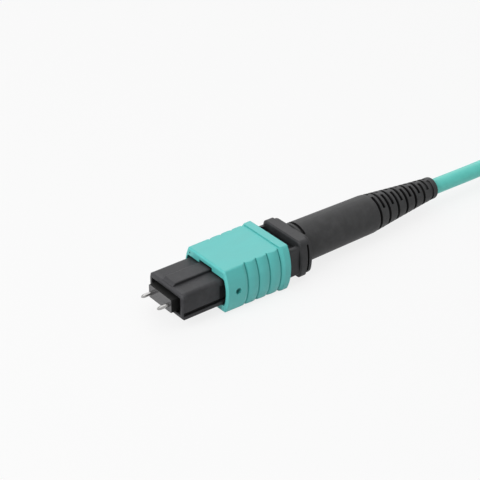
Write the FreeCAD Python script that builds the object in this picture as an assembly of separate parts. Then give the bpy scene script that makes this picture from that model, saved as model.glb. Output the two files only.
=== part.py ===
import FreeCAD, Part
import math
import os
from FreeCAD import Vector

# A male MPO connector for twelve fibres on a round cable, in millimetres.
# Working axes: x runs from the ferrule's end face towards the cable, z is up on the
# key side, and the fibre axis is y = z = 0. Every piece is moved at the end so that
# the origin lies under the middle of the connector, on the surface it lies on.

# ---- interface of the ferrule, fixed by the connector's standard -------------------------------
FIBRES = 12
FIBRE_PITCH = 0.25
FIBRE_RADIUS = 0.0625
PIN_PITCH = 4.6
PIN_RADIUS = 0.35
PIN_PROTRUSION = 2.15
PIN_TAIL = 1.85
PIN_TIP_LENGTH = 0.75
PIN_TIP_RADIUS = 0.14
PIN_TIP_KNEE = 0.22
PIN_TIP_KNEE_RADIUS = 0.26
FERRULE_WIDTH = 6.4
FERRULE_HEIGHT = 2.5
FERRULE_LENGTH = 8.0
FERRULE_EDGE = 0.18
FERRULE_PROTRUSION = 1.23
FERRULE_TRAVEL = 1.0
SHOULDER_WIDTH = 7.0
SHOULDER_HEIGHT = 3.0
SHOULDER_LENGTH = 2.0
WINDOW_WALL = 0.5
WINDOW_LENGTH = 2.2
WINDOW_WIDTH = 3.4

# ---- ribbon, its rubber boot and the clamp that holds the pins ---------------------------------
RIBBON_WIDTH = 3.1
RIBBON_THICKNESS = 0.32
RIBBON_LEAD = 0.2
RIBBON_FLAT_LENGTH = 15.5
RIBBON_ROUNDING_LENGTH = 7.5
FIBRE_BUNDLE_RADIUS = 0.6
FERRULE_BOOT_WIDTH = 3.7
FERRULE_BOOT_HEIGHT = 1.5
FERRULE_BOOT_DEPTH = 2.7
CLAMP_LENGTH = 2.5
CLAMP_WIDTH = 7.2
CLAMP_HEIGHT = 3.2
CLAMP_RIM = 0.45
SPRING_WIRE = 0.22
SPRING_TURNS = 5.5

# ---- inner housing -----------------------------------------------------------------------------
HOUSING_WIDTH = 9.6
HOUSING_HEIGHT = 4.9
HOUSING_SHOULDER = 0.7
HOUSING_EDGE = 0.15
HOUSING_NOSE = 0.25
MOUTH_WIDTH = 8.1
MOUTH_HEIGHT = 3.3
MOUTH_DEPTH = 1.5
KEY_WIDTH = 3.0
KEY_HEIGHT = 0.5
KEY_RAMP_LENGTH = 0.6
KEY_RAMP_FOOT = 0.08
KEY_SETBACK = 0.3
KEY_LENGTH = 11.35
CAVITY_WIDTH = 7.6
CAVITY_HEIGHT = 3.55
RAIL_HEIGHT = 0.72
RAIL_GROOVE_HEIGHT = 0.7
RAIL_GROOVE_DEPTH = 0.45
LATCH_START = 7.6
LATCH_LENGTH = 2.3
LATCH_HEIGHT = 3.1
LATCH_DEPTH = 0.5
HOUSING_REAR_WIDTH = 10.4
HOUSING_REAR_HEIGHT = 5.6
HOUSING_REAR_LENGTH = 8.9
HOOK_WINDOW_LENGTH = 1.4
HOOK_WINDOW_HEIGHT = 1.8
HOOK_WINDOW_SETBACK = 0.9

# ---- sliding sleeve ----------------------------------------------------------------------------
SLEEVE_SETBACK = 8.2
SLEEVE_LENGTH = 13.5
SLEEVE_TRAVEL = 2.5
SLEEVE_FRONT_HEIGHT = 8.2
SLEEVE_REAR_HEIGHT = 8.44
SLEEVE_SIDE_FRONT = 1.0
SLEEVE_SIDE_REAR = 1.15
SLEEVE_FLAT_INSET = 0.1
SLEEVE_EDGE = 0.45
SLEEVE_NOSE = 0.3
RIM_LENGTH = 1.55
RIM_STEP = 0.2
GROOVES = 4
GROOVE_PITCH = 2.35
GROOVE_START = 4.5
GROOVE_DEPTH = 0.45
GROOVE_WIDTH = 0.36
CREST_DEPTH = 0.03
SCALLOP_DEPTH = 0.17
SCALLOP_CLEAR = 1.0
SCALLOP_OVERRUN = 8.0
SIDE_HOLE_RADIUS = 0.57
SIDE_HOLE_SETBACK = 2.3
GATE_MARK_RADIUS = 0.17
GATE_MARK_DEPTH = 0.3
GATE_MARK_SIDE = 4.5
GATE_MARK_HEIGHT = 3.25
LIP_LENGTH = 1.5
LIP_WALL = 0.55
SLEEVE_FRONT_GAP = 0.2
SLEEVE_RUNNING_GAP = 0.12
KEYWAY_GAP = 0.28
TAB_LENGTH = 0.8
TAB_HEIGHT = 1.3
TAB_ROOT = 0.5
TAB_START = 3.0

# ---- sleeve springs ----------------------------------------------------------------------------
SIDE_SPRING_RADIUS = 0.55
SIDE_SPRING_WIRE = 0.1
SIDE_SPRING_TURNS = 8
SIDE_SPRING_DISTANCE = 4.87
CHANNEL_LENGTH = 7.5
CHANNEL_WALL = 0.35

# ---- rear body, crimp and strain relief --------------------------------------------------------
NECK_INSET = 0.1
NECK_HEIGHT = 5.6
NECK_EDGE = 0.4
NECK_POCKET_WALL = 0.5
NECK_POCKET_SIDE = 0.8
NECK_POCKET_DEPTH = 0.9
NECK_POCKET_CORNER = 0.6
FLANGE_SIDE = 0.42
FLANGE_BOW = 1.3
FLANGE_HEIGHT = 7.3
FLANGE_LENGTH = 2.4
FLANGE_EDGE = 0.9
FLANGE_RIM_EDGE = 2.0
FLANGE_BEVEL = 0.25
FLANGE_STOP_GAP = 0.37
FLANGE_GROOVE_SETBACK = 1.45
FLANGE_GROOVE_WIDTH = 0.38
FLANGE_GROOVE_DEPTH = 0.4
FLANGE_GROOVE_TOP = 0.8
FLANGE_GROOVE_REACH = 2.0
PUSHER_LENGTH = 5.1
PUSHER_WIDTH = 5.8
ARM_THICKNESS = 0.7
ARM_HEIGHT = 1.5
HOOK_DEPTH = 0.85
PASSAGE_WIDTH = 4.2
PASSAGE_HEIGHT = 2.0
CRIMP_TUBE_RADIUS = 2.4
CRIMP_TUBE_BORE = 1.9
CRIMP_TUBE_LENGTH = 7.1
CRIMP_TUBE_GROOVES = 4
YARN_THICKNESS = 0.2
CRIMP_RING_WALL = 0.33
CRIMP_RING_GAP = 0.6
CRIMP_NECK_LENGTH = 4.0
BOOT_RADIUS = 3.86
BOOT_SHOULDER_RADIUS = 3.66
BOOT_END_RADIUS = 2.12
BOOT_WAIST_SAG = 0.04
BOOT_BARREL_LENGTH = 17.2
BOOT_TAPER_LENGTH = 15.45
BOOT_BEAD_LENGTH = 1.0
BOOT_BEAD_ROUND = 0.3
BOOT_FRONT_BEVEL = 0.12
BOOT_SLOTS = 7
BOOT_SLOT_PITCH = 2.34
BOOT_SLOT_START = 0.65
BOOT_SLOT_WIDTH = 0.6
BOOT_SLOT_FLOOR = 0.25
SIDE_SLOT_SPREAD = 164.0
TOP_SLOT_SPREAD = 110.0
CRESCENT_SETBACK = 0.5
CRESCENT_WIDTH = 0.6
CRESCENT_DEPTH = 0.45
CRESCENT_SPREAD = 78.0

# ---- cable and its put-away length -------------------------------------------------------------
CABLE_RADIUS = 1.5
JACKET_BORE = 1.1
JACKET_BORE_LENGTH = 12.0
COATED_FIBRE_RADIUS = 0.125
CORE_FIBRES = 3
CABLE_FREE_LENGTH = 30.0
HANK_RUN = 45.0
HANK_FOLD = 9.0
TURN_SPACING = 3.1
HANK_TURNS_HIGH = 4
TIE_THICKNESS = 0.6
TIE_WIDTH = 10.0
TAIL_LENGTH = 14.0
TAIL_ANGLE = 25.0
CUT_END_LENGTH = 3.0

# Bends of the cable's free stretch: distance behind the boot, share of its step aside to the hank's
# first turn, share of its drop to the hank.
CABLE_BENDS = [
    (-5.0, 0.0, 0.0),
    (20.2, 0.0, 0.16),
    (32.4, 0.88, 0.68),
    (42.3, 1.0, 1.0),
]

# ---- clearances --------------------------------------------------------------------------------
PIN_FIT = 0.01
FERRULE_FLOAT = 0.12
STOP_GAP = 0.05
SEAT_GAP = 0.05
SLIDE_GAP = 0.1
JACKET_GAP = 0.2
FIBRE_FIT = 0.004

# ---- places along the axis, worked out from the sizes ------------------------------------------
window_rear = FERRULE_LENGTH - FERRULE_BOOT_DEPTH - WINDOW_WALL
window_front = window_rear - WINDOW_LENGTH
bare_fibre_end = window_front - RIBBON_LEAD
plug_front = FERRULE_PROTRUSION
stop_face = FERRULE_LENGTH - SHOULDER_LENGTH - STOP_GAP
pin_end = FERRULE_LENGTH + PIN_TAIL
clamp_front = FERRULE_LENGTH + SEAT_GAP
clamp_rear = clamp_front + CLAMP_LENGTH
sleeve_front = plug_front + SLEEVE_SETBACK
sleeve_rear = sleeve_front + SLEEVE_LENGTH
flange_front = sleeve_rear + SLEEVE_TRAVEL + FLANGE_STOP_GAP
flange_rear = flange_front + FLANGE_LENGTH
rear_body_start = sleeve_front + LIP_LENGTH + SLEEVE_TRAVEL + SLIDE_GAP
housing_rear = rear_body_start + HOUSING_REAR_LENGTH
neck_front = housing_rear + SEAT_GAP
pusher_front = neck_front - PUSHER_LENGTH
hook_window_rear = housing_rear - HOOK_WINDOW_SETBACK
tab_start = sleeve_front + TAB_START
channel_start = tab_start - SLIDE_GAP
channel_end = channel_start + CHANNEL_LENGTH
crimp_tube_end = flange_rear + CRIMP_TUBE_LENGTH
jacket_start = crimp_tube_end + CRIMP_RING_GAP
crimp_neck_end = jacket_start + CRIMP_NECK_LENGTH
boot_front = flange_rear + SEAT_GAP
boot_shoulder = boot_front + BOOT_BARREL_LENGTH
boot_bead = boot_shoulder + BOOT_TAPER_LENGTH
boot_end = boot_bead + BOOT_BEAD_LENGTH

# ---- heights and radii worked out from the sizes -----------------------------------------------
yarn_radius = CRIMP_TUBE_RADIUS + YARN_THICKNESS
ring_bore = yarn_radius + SEAT_GAP / 2
ring_radius = ring_bore + CRIMP_RING_WALL
key_top = HOUSING_HEIGHT / 2 + KEY_HEIGHT
sleeve_width_front = HOUSING_REAR_WIDTH + 2 * SLEEVE_SIDE_FRONT
sleeve_width_rear = HOUSING_REAR_WIDTH + 2 * SLEEVE_SIDE_REAR
sleeve_flat_front = HOUSING_REAR_WIDTH - 2 * SLEEVE_FLAT_INSET
sleeve_flat_rear = HOUSING_REAR_WIDTH
neck_width = HOUSING_REAR_WIDTH - 2 * NECK_INSET
flange_width = HOUSING_REAR_WIDTH + 2 * FLANGE_SIDE
rest_height = SLEEVE_REAR_HEIGHT / 2 + RIM_STEP
middle = (boot_end - PIN_PROTRUSION) / 2
hank_outer_fold = HANK_FOLD + TURN_SPACING
hank_half = CABLE_RADIUS + SEAT_GAP
hank_bottom = TIE_THICKNESS - rest_height
hank_top = hank_bottom + 2 * hank_half + (HANK_TURNS_HIGH - 1) * TURN_SPACING
hank_level = hank_bottom + hank_half
hank_centre_y = sleeve_width_rear / 2 - TIE_THICKNESS - hank_half - hank_outer_fold
hank_side = hank_centre_y + hank_outer_fold
hank_bend_x = boot_end + CABLE_FREE_LENGTH + hank_outer_fold + hank_half
tie_start = hank_bend_x + (HANK_RUN - TIE_WIDTH) / 2
tail_wall = tie_start, hank_centre_y - HANK_FOLD, hank_level
cable_bends = [(boot_end + along, side * hank_side, drop * hank_level) for along, side, drop in CABLE_BENDS]
cable_route = [(jacket_start, 0.0, 0.0)] + cable_bends

AXIS = Vector(1, 0, 0)
ORIGIN = Vector(0, 0, 0)


def outline(x, width, bottom, top, top_round=0.0, bottom_round=0.0):
    """Closed outline across the axis at x: a rectangle with its own radius for upper and lower corners."""
    half = width / 2
    corners = [
        (half, bottom, bottom_round),
        (half, top, top_round),
        (-half, top, top_round),
        (-half, bottom, bottom_round),
    ]
    starts, ends, middles = [], [], []
    for index, (y, z, radius) in enumerate(corners):
        turn = math.pi / 2 * index
        inward = Vector(0, -math.cos(turn) - math.sin(turn), math.cos(turn) - math.sin(turn))
        centre = Vector(x, y, z) + inward * radius
        starts.append(centre + Vector(0, math.sin(turn), -math.cos(turn)) * radius)
        ends.append(centre + Vector(0, math.cos(turn), math.sin(turn)) * radius)
        bisector = turn - math.pi / 4
        middles.append(centre + Vector(0, math.cos(bisector), math.sin(bisector)) * radius)
    edges = []
    for index in range(4):
        if corners[index][2] > 0:
            edges.append(Part.Arc(starts[index], middles[index], ends[index]).toShape())
        edges.append(Part.LineSegment(ends[index], starts[(index + 1) % 4]).toShape())
    return Part.Wire(edges)


def bar(start, end, width, bottom, top, top_round=0.0, bottom_round=None):
    """Prism along the axis with the outline above."""
    lower = top_round if bottom_round is None else bottom_round
    return Part.Face(outline(start, width, bottom, top, top_round, lower)).extrude(AXIS * (end - start))


def tube_bar(start, end, width, height, radius=0.0):
    """Prism along the axis, centred on it."""
    return bar(start, end, width, -height / 2, height / 2, radius)


def bevelled_bar(start, end, width, height, bevel, top_round, bottom_round):
    """Centred prism whose front end is bevelled all round."""
    half = height / 2
    front = outline(start, width - 2 * bevel, bevel - half, half - bevel, top_round, bottom_round)
    full = [outline(x, width, -half, half, top_round, bottom_round) for x in (start + bevel, end)]
    return Part.makeLoft([front] + full, True, True)


def rod(start, end, radius, y=0.0, z=0.0):
    return Part.makeCylinder(radius, end - start, Vector(start, y, z), AXIS)


def turned(profile):
    """Solid of revolution about the axis from (x, radius) points, all on straight lines."""
    points = [Vector(x, 0, radius) for x, radius in profile]
    face = Part.Face(Part.makePolygon(points + points[:1]))
    return face.revolve(ORIGIN, AXIS, 360)


def ring_slot(start, width, inner, outer, direction, spread):
    """Part of a ring round the axis: spread degrees wide about a direction, where 90 is up."""
    corners = [Vector(start, 0, inner), Vector(start + width, 0, inner)]
    corners += [Vector(start + width, 0, outer), Vector(start, 0, outer)]
    slot = Part.Face(Part.makePolygon(corners + corners[:1])).revolve(ORIGIN, AXIS, spread)
    slot.rotate(ORIGIN, AXIS, direction - 90 - spread / 2)
    return slot


def mirrored(shape):
    """The same shape on the other side of the connector."""
    return shape.mirror(ORIGIN, Vector(0, 1, 0))


def coil(start, end, half_y, half_z, wire, turns, offset_y=0.0):
    """Compression spring along the axis, round or oval, with its ends laid flat by half a turn."""
    steps = 12
    last = int(turns * steps)
    points = []
    for step in range(last + 1):
        angle = 2 * math.pi * step / steps
        along = min(max((step - steps / 2) / (last - steps), 0.0), 1.0)
        x = start + wire + (end - start - 2 * wire) * along
        points.append(Vector(x, offset_y + half_y * math.cos(angle), half_z * math.sin(angle)))
    curve = Part.BSplineCurve()
    curve.interpolate(points)
    path = Part.Wire(curve.toShape())
    section = Part.Wire(Part.makeCircle(wire, points[0], curve.tangent(curve.FirstParameter)[0]))
    return path.makePipeShell([section], True, True)


# ---- ferrule and what moves with it ------------------------------------------------------------

def fibre_places():
    first = -FIBRE_PITCH * (FIBRES - 1) / 2
    return [first + FIBRE_PITCH * index for index in range(FIBRES)]


def mt_ferrule():
    """Precision ferrule: slim body, rear shoulder, two pin bores, twelve fibre bores and the glue window."""
    body = tube_bar(0, FERRULE_LENGTH, FERRULE_WIDTH, FERRULE_HEIGHT, FERRULE_EDGE)
    shoulder_front = FERRULE_LENGTH - SHOULDER_LENGTH
    shoulder = tube_bar(shoulder_front, FERRULE_LENGTH, SHOULDER_WIDTH, SHOULDER_HEIGHT, FERRULE_EDGE)
    ferrule = body.fuse(shoulder)
    boot_seat = FERRULE_LENGTH - FERRULE_BOOT_DEPTH
    cuts = [rod(-1, FERRULE_LENGTH + 1, PIN_RADIUS + PIN_FIT, side * PIN_PITCH / 2) for side in (-1, 1)]
    cuts += [rod(-1, bare_fibre_end, FIBRE_RADIUS + FIBRE_FIT, y) for y in fibre_places()]
    ribbon_room = RIBBON_THICKNESS + 2 * SEAT_GAP
    cuts.append(tube_bar(bare_fibre_end, boot_seat, RIBBON_WIDTH + 2 * SEAT_GAP, ribbon_room))
    boot_height = FERRULE_BOOT_HEIGHT + SEAT_GAP
    cuts.append(tube_bar(boot_seat, FERRULE_LENGTH + 1, FERRULE_BOOT_WIDTH + SEAT_GAP, boot_height))
    cuts.append(bar(window_front, window_rear, WINDOW_WIDTH, 0, FERRULE_HEIGHT))
    return ferrule.cut(cuts).removeSplitter()


def ferrule_adhesive():
    """Cured adhesive that fills the window above the ribbon."""
    bottom = RIBBON_THICKNESS / 2 + SEAT_GAP / 2
    top = FERRULE_HEIGHT / 2 - SEAT_GAP
    width = WINDOW_WIDTH - 2 * SEAT_GAP
    return bar(window_front + SEAT_GAP, window_rear - SEAT_GAP, width, bottom, top)


def guide_pin(side):
    """Steel pin with a long round-nosed lead, held at its rear by the clamp."""
    tip = -PIN_PROTRUSION
    nose = tip + PIN_TIP_LENGTH
    bend = Vector(tip + PIN_TIP_KNEE, 0, PIN_TIP_KNEE_RADIUS)
    edges = [
        Part.LineSegment(Vector(tip, 0, 0), Vector(tip, 0, PIN_TIP_RADIUS)).toShape(),
        Part.Arc(Vector(tip, 0, PIN_TIP_RADIUS), bend, Vector(nose, 0, PIN_RADIUS)).toShape(),
        Part.LineSegment(Vector(nose, 0, PIN_RADIUS), Vector(pin_end, 0, PIN_RADIUS)).toShape(),
        Part.LineSegment(Vector(pin_end, 0, PIN_RADIUS), Vector(pin_end, 0, 0)).toShape(),
        Part.LineSegment(Vector(pin_end, 0, 0), Vector(tip, 0, 0)).toShape(),
    ]
    pin = Part.Face(Part.Wire(edges)).revolve(ORIGIN, AXIS, 360)
    pin.translate(Vector(0, side * PIN_PITCH / 2, 0))
    return pin


def pin_clamp():
    """Block behind the ferrule that holds both pins and gives the spring its seat."""
    block = tube_bar(clamp_front, clamp_rear, CLAMP_WIDTH, CLAMP_HEIGHT, FERRULE_EDGE)
    room = FERRULE_BOOT_WIDTH / 2 + SEAT_GAP
    opening = tube_bar(clamp_front - 1, clamp_rear + 1, 2 * room, FERRULE_BOOT_HEIGHT + 2 * SEAT_GAP)
    pin_bore = PIN_RADIUS + PIN_FIT
    pins = [rod(clamp_front - 1, clamp_rear + 1, pin_bore, side * PIN_PITCH / 2) for side in (-1, 1)]
    seat_size = (CLAMP_WIDTH - 2 * CLAMP_RIM, CLAMP_HEIGHT - 2 * CLAMP_RIM)
    seat = tube_bar(clamp_rear - CLAMP_RIM, clamp_rear + 1, *seat_size)
    return block.cut([opening, seat] + pins).removeSplitter()


def ferrule_boot():
    """Rubber boot that guides the ribbon out of the ferrule."""
    start = FERRULE_LENGTH - FERRULE_BOOT_DEPTH + SEAT_GAP
    end = clamp_rear - CLAMP_RIM - SEAT_GAP
    body = tube_bar(start, end, FERRULE_BOOT_WIDTH - SEAT_GAP, FERRULE_BOOT_HEIGHT - SEAT_GAP)
    slit = tube_bar(start - 1, end + 1, RIBBON_WIDTH + SEAT_GAP, RIBBON_THICKNESS + SEAT_GAP)
    return body.cut(slit)


def ferrule_spring():
    """Oval coil spring round the ribbon, between the clamp's seat and the rear body."""
    half_y = CLAMP_WIDTH / 2 - CLAMP_RIM - SEAT_GAP - SPRING_WIRE
    half_z = CLAMP_HEIGHT / 2 - CLAMP_RIM - SEAT_GAP - SPRING_WIRE
    seat = clamp_rear - CLAMP_RIM
    return coil(seat, pusher_front, half_y, half_z, SPRING_WIRE, SPRING_TURNS)


def fibre_ribbon():
    """Twelve bare fibres, the flat ribbon behind them, and the round bundle that enters the jacket."""
    flat_end = bare_fibre_end + RIBBON_FLAT_LENGTH
    bundle_start = flat_end + RIBBON_ROUNDING_LENGTH
    corner = RIBBON_THICKNESS / 2 - SEAT_GAP / 2
    flat = tube_bar(bare_fibre_end, flat_end, RIBBON_WIDTH, RIBBON_THICKNESS, corner)
    half = FIBRE_BUNDLE_RADIUS
    round_end = outline(bundle_start, 2 * half, -half, half, half - SEAT_GAP, half - SEAT_GAP)
    flat_face = outline(flat_end, RIBBON_WIDTH, -RIBBON_THICKNESS / 2, RIBBON_THICKNESS / 2, corner, corner)
    gather = Part.makeLoft([flat_face, round_end], True, True)
    bundle = Part.Face(round_end).extrude(AXIS * (jacket_start + CRIMP_NECK_LENGTH - bundle_start))
    fibres = [rod(0, bare_fibre_end, FIBRE_RADIUS, y) for y in fibre_places()]
    return flat.fuse([gather, bundle] + fibres)


# ---- housing, sleeve and its springs -----------------------------------------------------------

def plug_housing():
    """Inner housing: slim nose with key and side rails, wider rear with spring channels and hook windows."""
    nose_size = (plug_front, rear_body_start, HOUSING_WIDTH, HOUSING_HEIGHT)
    nose = bevelled_bar(*nose_size, HOUSING_NOSE, HOUSING_SHOULDER, HOUSING_EDGE)
    rear = tube_bar(rear_body_start, housing_rear, HOUSING_REAR_WIDTH, HOUSING_REAR_HEIGHT, HOUSING_SHOULDER)
    housing = nose.fuse([rear, housing_key()])
    housing = housing.cut(housing_bores())
    sides = housing_side_cuts()
    return housing.cut(sides + [mirrored(cut) for cut in sides]).removeSplitter()


def housing_key():
    """Rib along the top that starts with a short ramp."""
    start = plug_front + KEY_SETBACK
    foot = key_top - KEY_HEIGHT + KEY_RAMP_FOOT
    heights = [(start, foot), (start + KEY_RAMP_LENGTH, key_top), (start + KEY_LENGTH, key_top)]
    return Part.makeLoft([outline(x, KEY_WIDTH, 0, top, HOUSING_EDGE) for x, top in heights], True, True)


def housing_bores():
    """Flared mouth, close bore round the ferrule and the long cavity behind its stop."""
    mouth = tube_bar(plug_front - 1, plug_front + MOUTH_DEPTH, MOUTH_WIDTH, MOUTH_HEIGHT, FERRULE_EDGE)
    room = 2 * FERRULE_FLOAT
    throat = tube_bar(plug_front, stop_face, FERRULE_WIDTH + room, FERRULE_HEIGHT + room, FERRULE_EDGE)
    cavity = tube_bar(stop_face, housing_rear + 1, CAVITY_WIDTH, CAVITY_HEIGHT)
    return [mouth, throat, cavity]


def housing_side_cuts():
    """What is cut into one side: rail groove, latch recess, spring channel and hook window."""
    half = HOUSING_HEIGHT / 2
    rail_top = RAIL_HEIGHT - half
    latch_start = plug_front + LATCH_START

    def pocket(start, end, depth_from, bottom, top):
        outside = HOUSING_REAR_WIDTH
        return Part.makeBox(end - start, outside, top - bottom, Vector(start, depth_from, bottom))

    groove_depth = HOUSING_WIDTH / 2 - RAIL_GROOVE_DEPTH
    groove_start = plug_front + HOUSING_NOSE
    groove = pocket(groove_start, rear_body_start, groove_depth, rail_top, rail_top + RAIL_GROOVE_HEIGHT)
    latch_depth = HOUSING_WIDTH / 2 - LATCH_DEPTH
    latch = pocket(latch_start, latch_start + LATCH_LENGTH, latch_depth, rail_top, rail_top + LATCH_HEIGHT)
    channel_half = SIDE_SPRING_RADIUS + SIDE_SPRING_WIRE + SLIDE_GAP
    channel_floor = CAVITY_WIDTH / 2 + CHANNEL_WALL
    channel = pocket(channel_start, channel_end, channel_floor, -channel_half, channel_half)
    window_start = hook_window_rear - HOOK_WINDOW_LENGTH
    window = pocket(window_start, hook_window_rear, 0, -HOOK_WINDOW_HEIGHT / 2, HOOK_WINDOW_HEIGHT / 2)
    return [groove, latch, channel, window]


def barrel_outline(x, height, flat, width, edge=SLEEVE_EDGE):
    """Outline across the axis at x: flat top and bottom, sides that bow outwards, eased corners."""
    half = height / 2
    bow = (width - flat) / 2
    radius = (half ** 2 + bow ** 2) / (2 * bow)
    centre = width / 2 - radius
    corner_y = centre + math.sqrt((radius - edge) ** 2 - (half - edge) ** 2)
    lean = math.atan2(half - edge, corner_y - centre)
    knee = (lean + math.pi / 2) / 2
    side = (centre + radius * math.cos(lean), radius * math.sin(lean))
    bend = (corner_y + edge * math.cos(knee), half - edge + edge * math.sin(knee))
    edges = []
    for turn in (1, -1):
        def at(y, z):
            return Vector(x, turn * y, turn * z)
        edges.append(Part.Arc(at(side[0], -side[1]), at(width / 2, 0), at(*side)).toShape())
        edges.append(Part.Arc(at(*side), at(*bend), at(corner_y, half)).toShape())
        edges.append(Part.LineSegment(at(corner_y, half), at(-corner_y, half)).toShape())
        edges.append(Part.Arc(at(-corner_y, half), at(-bend[0], bend[1]), at(-side[0], side[1])).toShape())
    return Part.Wire(edges)


def sleeve_shell():
    """Outer form of the sleeve: eased nose, slight flare to the rear and a raised rear rim."""
    front_size = (SLEEVE_FRONT_HEIGHT, sleeve_flat_front, sleeve_width_front)
    sections = [
        barrel_outline(sleeve_front, *[size - 2 * SLEEVE_NOSE for size in front_size]),
        barrel_outline(sleeve_front + SLEEVE_NOSE, *front_size),
        barrel_outline(sleeve_rear, SLEEVE_REAR_HEIGHT, sleeve_flat_rear, sleeve_width_rear),
    ]
    flare = Part.makeLoft(sections, True, True)
    rim_height = SLEEVE_REAR_HEIGHT + 2 * RIM_STEP
    rim_outline = barrel_outline(sleeve_rear - RIM_LENGTH, rim_height, sleeve_flat_rear, sleeve_width_rear)
    rim = Part.Face(rim_outline).extrude(AXIS * RIM_LENGTH)
    return flare.fuse(rim)


def sleeve_scallops():
    """Cutter for one side's finger grip: low rounded ribs with a narrow sharp groove between them."""
    half = SLEEVE_REAR_HEIGHT / 2
    bow = (sleeve_width_rear - sleeve_flat_rear) / 2
    side_radius = (half ** 2 + bow ** 2) / (2 * bow)
    centre = sleeve_width_rear / 2 - side_radius
    spread = sleeve_width_rear - sleeve_width_front

    def surface(x, depth):
        share = (x - sleeve_front) / SLEEVE_LENGTH
        return Vector(x, sleeve_width_front / 2 + spread / 2 * share - depth, 0)

    valleys = [sleeve_front + GROOVE_START + GROOVE_PITCH * index for index in range(GROOVES)]
    lip = GROOVE_WIDTH / 2
    lead = GROOVE_PITCH / 3
    first, last = valleys[0] - lead, valleys[-1] + lead

    def line(start, end):
        return Part.LineSegment(start, end).toShape()

    edges = [line(surface(first, -CREST_DEPTH), surface(valleys[0] - lip, SCALLOP_DEPTH))]
    for front, rear in zip(valleys, valleys[1:]):
        crest = surface((front + rear) / 2, CREST_DEPTH)
        start, end = surface(front + lip, SCALLOP_DEPTH), surface(rear - lip, SCALLOP_DEPTH)
        edges.append(line(surface(front - lip, SCALLOP_DEPTH), surface(front, GROOVE_DEPTH)))
        edges.append(line(surface(front, GROOVE_DEPTH), start))
        edges.append(Part.Arc(start, crest, end).toShape())
    rim = [surface(valleys[-1] - lip, SCALLOP_DEPTH), surface(valleys[-1], GROOVE_DEPTH)]
    rim += [surface(valleys[-1] + lip, SCALLOP_DEPTH), surface(last, -CREST_DEPTH)]
    rim += [surface(last, -SCALLOP_CLEAR), surface(first, -SCALLOP_CLEAR), surface(first, -CREST_DEPTH)]
    edges += [line(start, end) for start, end in zip(rim, rim[1:])]
    reach = math.degrees(math.asin(half / side_radius)) + SCALLOP_OVERRUN
    cutter = Part.Face(Part.Wire(edges)).revolve(Vector(0, centre, 0), AXIS, 2 * reach)
    cutter.rotate(Vector(0, centre, 0), AXIS, -reach)
    return cutter


def sleeve_bores():
    """Opening behind the lip, the wider bore over the rear housing, the keyway and the spring room."""
    lip_size = (HOUSING_HEIGHT + 2 * SLEEVE_FRONT_GAP, sleeve_flat_front, sleeve_width_front - 2 * LIP_WALL)
    lip = Part.Face(barrel_outline(sleeve_front - 1, *lip_size)).extrude(AXIS * (LIP_LENGTH + 1))
    rear_width = HOUSING_REAR_WIDTH + 2 * SLEEVE_RUNNING_GAP
    rear_height = HOUSING_REAR_HEIGHT + 2 * SLEEVE_RUNNING_GAP
    bore = tube_bar(sleeve_front + LIP_LENGTH, sleeve_rear + 1, rear_width, rear_height, HOUSING_SHOULDER)
    keyway_end = plug_front + KEY_SETBACK + KEY_LENGTH + SLIDE_GAP
    keyway = bar(sleeve_front - 1, keyway_end, KEY_WIDTH + 2 * KEYWAY_GAP, 0, key_top + KEYWAY_GAP)
    spring_edge = SIDE_SPRING_DISTANCE + SIDE_SPRING_RADIUS + SIDE_SPRING_WIRE + SLIDE_GAP
    room_height = 2 * (SIDE_SPRING_RADIUS + SIDE_SPRING_WIRE + SLIDE_GAP)
    spring_room = tube_bar(tab_start + TAB_LENGTH, sleeve_rear + 1, 2 * spring_edge, room_height, SLIDE_GAP)
    hole_start = Vector(sleeve_front + SIDE_HOLE_SETBACK, -sleeve_width_rear, 0)
    hole = Part.makeCylinder(SIDE_HOLE_RADIUS, 2 * sleeve_width_rear, hole_start, Vector(0, 1, 0))
    mark_end = sleeve_front + GATE_MARK_DEPTH
    gate_mark = rod(sleeve_front - 1, mark_end, GATE_MARK_RADIUS, GATE_MARK_SIDE, GATE_MARK_HEIGHT)
    return [lip, bore, keyway, spring_room, hole, gate_mark]


def coupling_sleeve():
    """Sleeve that is pulled back to free the connector: barrel sides with grips, keyway and spring tabs."""
    scallops = sleeve_scallops()
    shell = sleeve_shell().cut([scallops, mirrored(scallops)] + sleeve_bores())
    tab_floor = CAVITY_WIDTH / 2 + CHANNEL_WALL + SLIDE_GAP
    tab_root = HOUSING_REAR_WIDTH / 2 + TAB_ROOT
    low = Vector(tab_start, tab_floor, -TAB_HEIGHT / 2)
    tab = Part.makeBox(TAB_LENGTH, tab_root - tab_floor, TAB_HEIGHT, low)
    return shell.fuse([tab, mirrored(tab)]).removeSplitter()


def sleeve_spring(side):
    """Small round spring in one side channel, behind the sleeve's tab."""
    start = tab_start + TAB_LENGTH + SEAT_GAP
    offset = side * SIDE_SPRING_DISTANCE
    radius = SIDE_SPRING_RADIUS
    end = channel_end - SEAT_GAP
    return coil(start, end, radius, radius, SIDE_SPRING_WIRE, SIDE_SPRING_TURNS, offset)


# ---- rear body, crimp and boot -----------------------------------------------------------------

def spring_push():
    """Rear body: spring seat and hooked arms in front, neck, flange with side grooves, ribbed crimp tube."""
    pusher = tube_bar(pusher_front, neck_front, PUSHER_WIDTH, CAVITY_HEIGHT - 2 * SLIDE_GAP)
    stem = rod(flange_rear, crimp_tube_end, CRIMP_TUBE_RADIUS)
    body = rear_flange().fuse([rear_neck(), pusher, stem] + push_arms())
    hollow = tube_bar(pusher_front - 1, flange_front, PASSAGE_WIDTH, PASSAGE_HEIGHT, NECK_EDGE)
    bore = rod(flange_front - 1, crimp_tube_end + 1, CRIMP_TUBE_BORE)
    return body.cut([hollow, bore] + crimp_tube_grooves()).removeSplitter()


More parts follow.
